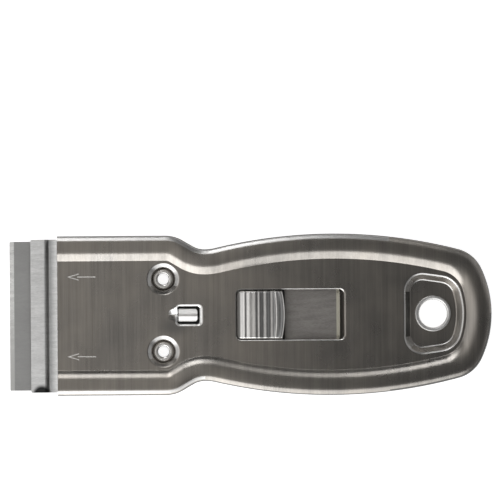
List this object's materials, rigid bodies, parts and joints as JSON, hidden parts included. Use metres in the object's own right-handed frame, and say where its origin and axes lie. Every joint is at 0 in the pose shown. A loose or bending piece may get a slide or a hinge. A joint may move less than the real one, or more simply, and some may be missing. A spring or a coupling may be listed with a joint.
{
  "type": "razor blade scraper",
  "caption": "Retractable all-metal scraper for single edge razor blades, with riveted stamped half shells, a sliding blade carrier and a ribbed thumb pad.",
  "frame": {"origin": "middle of the whole tool's box with the blade out, on the plane of the back rim's flat crest", "axes": "+X from the blade edge to the hanging end, +Z out of the face with the thumb slide, +Y completes the right-handed frame"},
  "size_m": [0.123, 0.0412, 0.0087],
  "materials": {
    "brushed_shell": "brushed across the handle",
    "bright_rivet": "bright rolled",
    "carrier_sheet": "fine grain along the handle",
    "polished_spring": "polished",
    "polished_pad": "polished with worn ribs",
    "blade_steel": "matt ground",
    "spine_steel": "plain rolled"
  },
  "bodies": {
    "handle": {"front_shell": "brushed_shell", "back_shell": "brushed_shell", "shell_rivets": "bright_rivet", "hang_eyelet": "bright_rivet"},
    "carrier": {"blade_carrier": "carrier_sheet", "carrier_rivets": "bright_rivet"},
    "thumb_slide": {"slide_strip": "carrier_sheet", "lock_spring": "polished_spring", "spring_rivet": "bright_rivet", "thumb_button": "polished_pad"},
    "blade": {"razor_blade": "blade_steel", "blade_spine": "spine_steel"}
  },
  "joints": [
    {"name": "blade_slide", "type": "slide", "parent": "handle", "child": "carrier", "axis": [1, 0, 0], "range_m": [0, 0.0149], "deforming": ["lock_spring"]},
    {"name": "button_press", "type": "hinge", "parent": "carrier", "child": "thumb_slide", "pos_m": [-0.03685, 0, 0.0033], "axis": [0, 1, 0], "range_deg": [0, 1.8], "stiffness_Nm_per_rad": 2},
    {"name": "blade_change", "type": "slide", "parent": "carrier", "child": "blade", "axis": [-1, 0, 0], "range_m": [0, 0.0136]}
  ]
}
